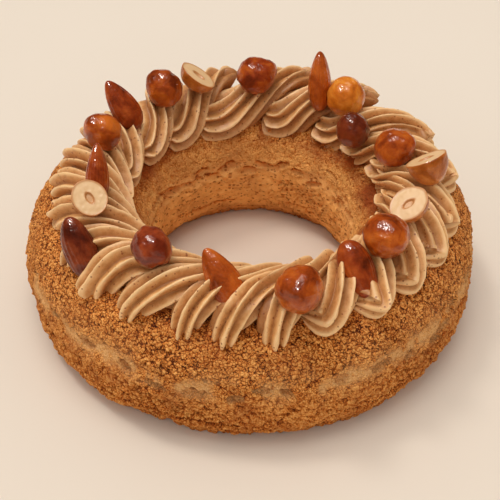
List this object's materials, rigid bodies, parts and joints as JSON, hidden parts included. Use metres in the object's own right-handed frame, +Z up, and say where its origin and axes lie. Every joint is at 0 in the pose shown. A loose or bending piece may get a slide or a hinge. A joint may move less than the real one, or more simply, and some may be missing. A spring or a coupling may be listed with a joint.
{
  "type": "paris brest pastry",
  "caption": "Round choux pastry ring with piped praline-cream swirls laid slantwise over its top, set with hazelnuts and almonds.",
  "frame": {"origin": "centre of the ring's flat base, on the surface it rests on", "axes": "+Z up through the ring's hole, -Y towards the front of the pastry, +X to its right"},
  "size_m": [0.1788, 0.1785, 0.0778],
  "materials": {
    "choux_crust": "dry baked crumble crust, golden to red-brown",
    "praline_cream": "soft tan nut cream with fine dark specks",
    "caramel_coat": "glossy dark caramel over a roasted hazelnut",
    "cut_kernel": "pale cut nut face, with a brown skin round it",
    "almond_skin": "glossy dark caramel over wrinkled almond skin"
  },
  "bodies": {
    "root": {"choux_ring": "choux_crust", "cream_swirl_01": "praline_cream", "cream_swirl_02": "praline_cream", "cream_swirl_03": "praline_cream", "cream_swirl_04": "praline_cream", "cream_swirl_05": "praline_cream", "cream_swirl_06": "praline_cream", "cream_swirl_07": "praline_cream", "cream_swirl_08": "praline_cream", "cream_swirl_09": "praline_cream", "cream_swirl_10": "praline_cream", "cream_swirl_11": "praline_cream", "cream_swirl_12": "praline_cream", "cream_swirl_13": "praline_cream", "cream_swirl_14": "praline_cream", "cream_swirl_15": "praline_cream", "cream_swirl_16": "praline_cream", "cream_swirl_17": "praline_cream", "cream_swirl_18": "praline_cream", "cream_swirl_19": "praline_cream", "cream_swirl_20": "praline_cream", "cream_swirl_21": "praline_cream", "cream_swirl_22": "praline_cream", "hazelnut_01": "caramel_coat", "hazelnut_02": "caramel_coat", "hazelnut_03": "caramel_coat", "hazelnut_04": "caramel_coat", "hazelnut_05": "caramel_coat", "hazelnut_06": "caramel_coat", "hazelnut_07": "caramel_coat", "hazelnut_08": "caramel_coat", "hazelnut_09": "caramel_coat", "hazelnut_half_01": "cut_kernel", "hazelnut_half_02": "cut_kernel", "hazelnut_half_03": "cut_kernel", "hazelnut_half_04": "cut_kernel", "almond_01": "almond_skin", "almond_02": "almond_skin", "almond_03": "almond_skin", "almond_04": "almond_skin", "almond_05": "almond_skin", "almond_06": "almond_skin"}
  },
  "joints": []
}
